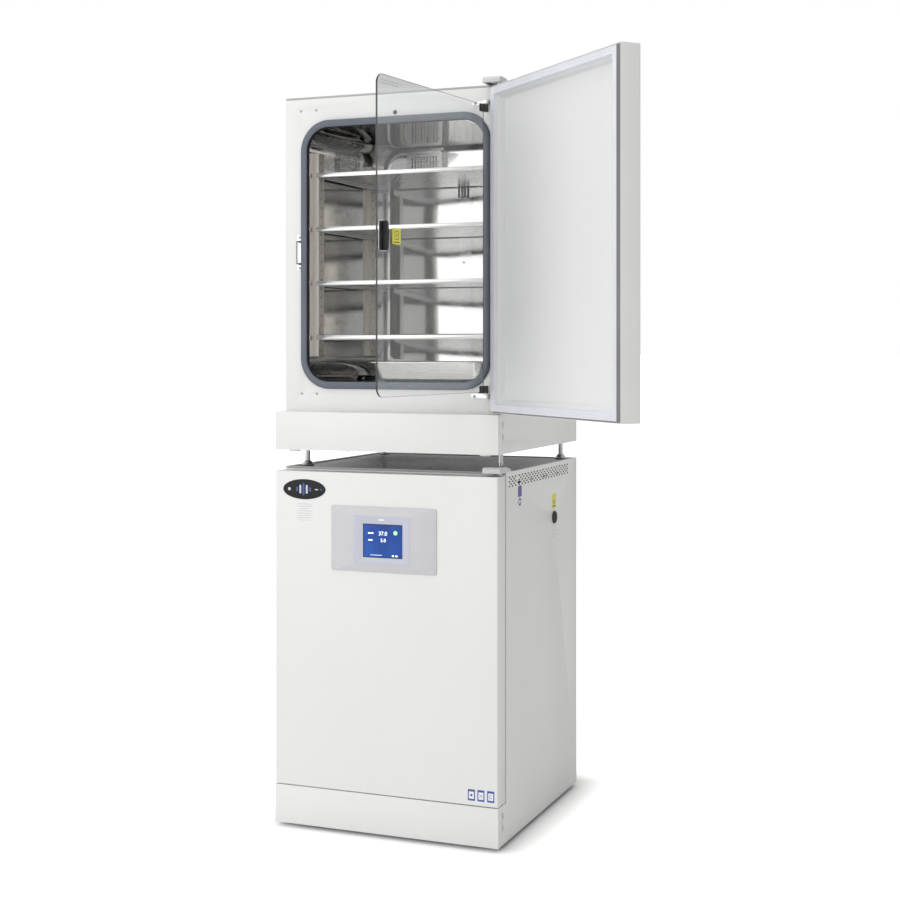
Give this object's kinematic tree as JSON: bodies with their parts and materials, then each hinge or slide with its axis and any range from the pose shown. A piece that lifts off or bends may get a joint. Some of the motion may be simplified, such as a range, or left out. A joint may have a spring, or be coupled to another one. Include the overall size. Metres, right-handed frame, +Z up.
{
  "type": "laboratory incubator",
  "caption": "Stacked floor-standing incubators with white cabinets: the upper one's outer door and glass inner door stand open on a shelved stainless chamber, the lower one is closed.",
  "frame": {"origin": "on the floor, midway between the four levelling feet", "axes": "+Z up, the doors face -Y, +X to the right as seen from the front, towards the door hinges"},
  "size_m": [1.1458, 1.2252, 2.047],
  "materials": {
    "white_paint": "satin",
    "grey_paint": "satin",
    "white_moulding": "satin",
    "light_grey_plastic": "satin",
    "white_plastic": "matte",
    "polished_stainless": "polished",
    "stainless": "satin",
    "galvanised": "satin",
    "seal_rubber": "matte",
    "gasket_rubber": "matte",
    "foam": "matte",
    "black_plastic": "satin",
    "dark_plastic": "satin",
    "black_rubber": "matte",
    "brass": "satin",
    "motor_paint": "satin",
    "display": "gloss",
    "badge_lacquer": "gloss",
    "pane": "clear",
    "clamp_metal": "satin",
    "chrome": "polished",
    "screw_steel": "satin"
  },
  "bodies": {
    "cabinet": {"lower_cabinet_shell": "white_paint", "upper_cabinet_shell": "white_paint", "lower_plinth_cover": "white_paint", "upper_plinth_cover": "white_paint", "lower_top_panel": "grey_paint", "upper_top_panel": "grey_paint", "lower_front_frame": "white_paint", "upper_front_frame": "white_paint", "lower_chamber_liner": "polished_stainless", "upper_chamber_liner": "polished_stainless", "lower_chamber_seal": "seal_rubber", "upper_chamber_seal": "seal_rubber", "base_frames": "galvanised", "insulation": "foam", "levelling_feet": "chrome", "door_hinges": "galvanised", "hinge_covers": "light_grey_plastic", "shelf_pilasters": "stainless", "shelf_rails": "stainless", "fan_motors": "motor_paint", "fan_guards": "stainless", "face_screws": "screw_steel", "vent_panels": "white_paint", "plinth_glides": "white_plastic", "latch_strikes": "stainless", "access_port_plugs": "black_rubber", "gas_inlets": "brass", "power_inlets": "black_plastic", "glass_hinge_brackets": "stainless", "sensor_probes": "dark_plastic", "door_switches": "dark_plastic", "lower_water_pan": "stainless", "lower_shelves": "stainless"},
    "upper_door": {"upper_door_shell": "white_paint", "upper_door_panel": "white_moulding", "upper_door_gasket": "gasket_rubber", "upper_control_bezel": "light_grey_plastic", "upper_touch_screen": "display", "upper_badge": "badge_lacquer"},
    "lower_door": {"lower_door_shell": "white_paint", "lower_door_panel": "white_moulding", "lower_door_gasket": "gasket_rubber", "lower_control_bezel": "light_grey_plastic", "lower_touch_screen": "display", "lower_badge": "badge_lacquer"},
    "upper_glass_pins": {"upper_glass_hinge_pins": "stainless"},
    "upper_glass": {"upper_glass_door": "pane", "upper_glass_clamps": "clamp_metal"},
    "upper_latch": {"upper_glass_latch": "black_plastic"},
    "lower_glass": {"lower_glass_door": "pane", "lower_glass_clamps": "clamp_metal", "lower_glass_hinge_pins": "stainless"},
    "lower_latch": {"lower_glass_latch": "black_plastic"},
    "upper_fan": {"upper_fan_wheel": "stainless"},
    "lower_fan": {"lower_fan_wheel": "stainless"},
    "upper_pan": {"upper_water_pan": "stainless"},
    "shelf_1": {"upper_shelf_1": "stainless"},
    "shelf_2": {"upper_shelf_2": "stainless"},
    "shelf_3": {"upper_shelf_3": "stainless"},
    "shelf_4": {"upper_shelf_4": "stainless"}
  },
  "joints": [
    {"name": "upper_door_swing", "type": "hinge", "parent": "cabinet", "child": "upper_door", "pos_m": [0.3205, -0.3525, 1.589], "axis": [0, 0, 1], "range_deg": [-136.5, 0]},
    {"name": "lower_door_swing", "type": "hinge", "parent": "cabinet", "child": "lower_door", "pos_m": [0.3205, -0.3525, 0.554], "axis": [0, 0, 1], "range_deg": [0, 136.5]},
    {"name": "upper_glass_follow", "type": "hinge", "parent": "cabinet", "child": "upper_glass_pins", "pos_m": [0.279, -0.3435, 1.594], "axis": [0, 0, 1], "range_deg": [-83.7, 0.1]},
    {"name": "upper_glass_swing", "type": "hinge", "parent": "upper_glass_pins", "child": "upper_glass", "pos_m": [0.279, -0.3435, 1.594], "axis": [0, 0, 1], "range_deg": [0, 35]},
    {"name": "upper_latch_turn", "type": "hinge", "parent": "upper_glass", "child": "upper_latch", "pos_m": [0.22013, -0.87726, 1.594], "axis": [-0.9938, 0.1115, 0], "range_deg": [0, 90]},
    {"name": "lower_glass_follow", "type": "hinge", "parent": "cabinet", "child": "lower_glass", "pos_m": [0.279, -0.3435, 0.559], "axis": [0, 0, 1], "range_deg": [-0.1, 83.7]},
    {"name": "lower_latch_turn", "type": "hinge", "parent": "lower_glass", "child": "lower_latch", "pos_m": [-0.258, -0.3445, 0.559], "axis": [0, 1, 0], "range_deg": [0, 90]},
    {"name": "upper_fan_spin", "type": "hinge", "parent": "cabinet", "child": "upper_fan", "pos_m": [-0.12, 0.1905, 1.879], "axis": [0, 1, 0], "continuous": true},
    {"name": "lower_fan_spin", "type": "hinge", "parent": "cabinet", "child": "lower_fan", "pos_m": [-0.12, 0.1905, 0.844], "axis": [0, 1, 0], "continuous": true},
    {"name": "upper_pan_slide", "type": "slide", "parent": "cabinet", "child": "upper_pan", "axis": [0, -1, 0], "range_m": [0, 0.15]},
    {"name": "upper_shelf_1_slide", "type": "slide", "parent": "cabinet", "child": "shelf_1", "axis": [0, -1, 0], "range_m": [0, 0.15]},
    {"name": "upper_shelf_2_slide", "type": "slide", "parent": "cabinet", "child": "shelf_2", "axis": [0, -1, 0], "range_m": [0, 0.15]},
    {"name": "upper_shelf_3_slide", "type": "slide", "parent": "cabinet", "child": "shelf_3", "axis": [0, -1, 0], "range_m": [0, 0.15]},
    {"name": "upper_shelf_4_slide", "type": "slide", "parent": "cabinet", "child": "shelf_4", "axis": [0, -1, 0], "range_m": [0, 0.15]}
  ],
  "couplings": [
    {"joint": "upper_glass_follow", "follows": "upper_door_swing", "ratio": 0.61245},
    {"joint": "lower_glass_follow", "follows": "lower_door_swing", "ratio": 0.61245}
  ]
}
